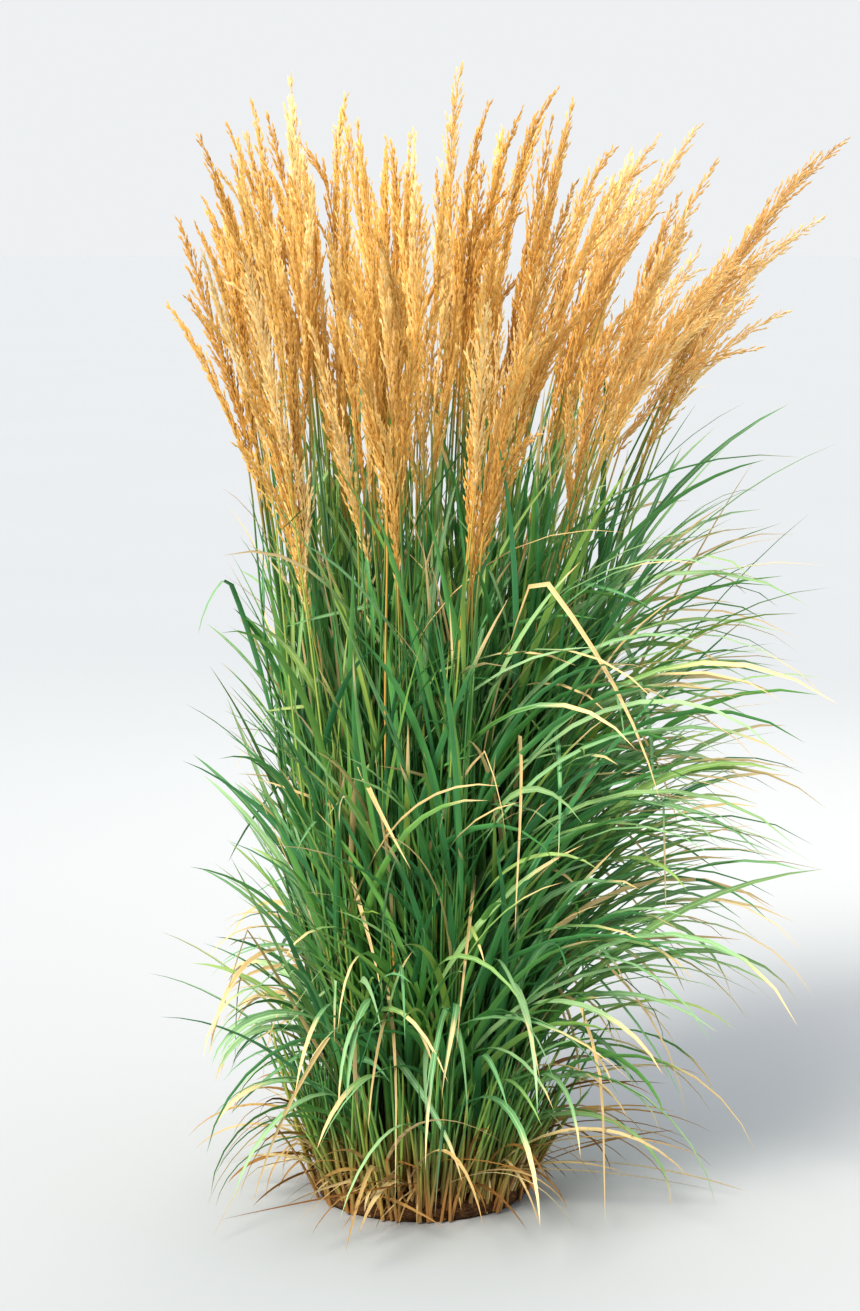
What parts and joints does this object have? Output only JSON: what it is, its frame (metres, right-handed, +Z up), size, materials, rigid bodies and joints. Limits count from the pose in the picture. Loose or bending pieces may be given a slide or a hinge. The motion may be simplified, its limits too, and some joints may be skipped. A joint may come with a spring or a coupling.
{
  "type": "feather reed grass clump",
  "caption": "Upright clump of ornamental grass: culms fan out from a flat-cut crown, with arching green blades low down, feathery straw-gold plumes above and dry blades round the foot.",
  "frame": {"origin": "middle of the crown's flat-cut underside, on the surface that the clump stands on", "axes": "+Z up along the culms, -Y towards the viewer of the picture, +X to the viewer's right, the side that the plumes lean to"},
  "size_m": [0.9268, 0.9099, 1.5244],
  "materials": {
    "crown": "matte",
    "fresh_blades": "satin",
    "dry_blades": "matte",
    "plumes": "matte"
  },
  "bodies": {
    "root": {"crown": "crown", "dry_blades_01": "dry_blades", "dry_blades_02": "dry_blades", "dry_blades_03": "dry_blades", "dry_blades_04": "dry_blades", "dry_blades_05": "dry_blades", "dry_blades_06": "dry_blades", "dry_blades_07": "dry_blades", "dry_blades_08": "dry_blades", "dry_blades_09": "dry_blades", "dry_blades_10": "dry_blades", "leafy_stems_01": "fresh_blades", "leafy_stems_02": "fresh_blades", "leafy_stems_03": "fresh_blades", "leafy_stems_04": "fresh_blades", "leafy_stems_05": "fresh_blades", "leafy_stems_06": "fresh_blades", "leafy_stems_07": "fresh_blades", "leafy_stems_08": "fresh_blades", "leafy_stems_09": "fresh_blades", "leafy_stems_10": "fresh_blades", "leafy_stems_11": "fresh_blades", "leafy_stems_12": "fresh_blades", "leafy_stems_13": "fresh_blades", "leafy_stems_14": "fresh_blades", "leafy_stems_15": "fresh_blades", "leafy_stems_16": "fresh_blades", "leafy_stems_17": "fresh_blades", "leafy_stems_18": "fresh_blades", "leafy_stems_19": "fresh_blades", "leafy_stems_20": "fresh_blades", "leafy_stems_21": "fresh_blades", "leafy_stems_22": "fresh_blades", "leafy_stems_23": "fresh_blades", "leafy_stems_24": "fresh_blades", "plumes_01": "plumes", "plumes_02": "plumes", "plumes_03": "plumes", "plumes_04": "plumes", "plumes_05": "plumes", "plumes_06": "plumes", "plumes_07": "plumes", "plumes_08": "plumes", "plumes_09": "plumes", "plumes_10": "plumes", "plumes_11": "plumes", "plumes_12": "plumes", "plumes_13": "plumes", "plumes_14": "plumes", "plumes_15": "plumes", "plumes_16": "plumes", "plumes_17": "plumes", "plumes_18": "plumes", "plumes_19": "plumes", "plumes_20": "plumes", "plumes_21": "plumes", "plumes_22": "plumes", "plumes_23": "plumes", "plumes_24": "plumes"}
  },
  "joints": []
}
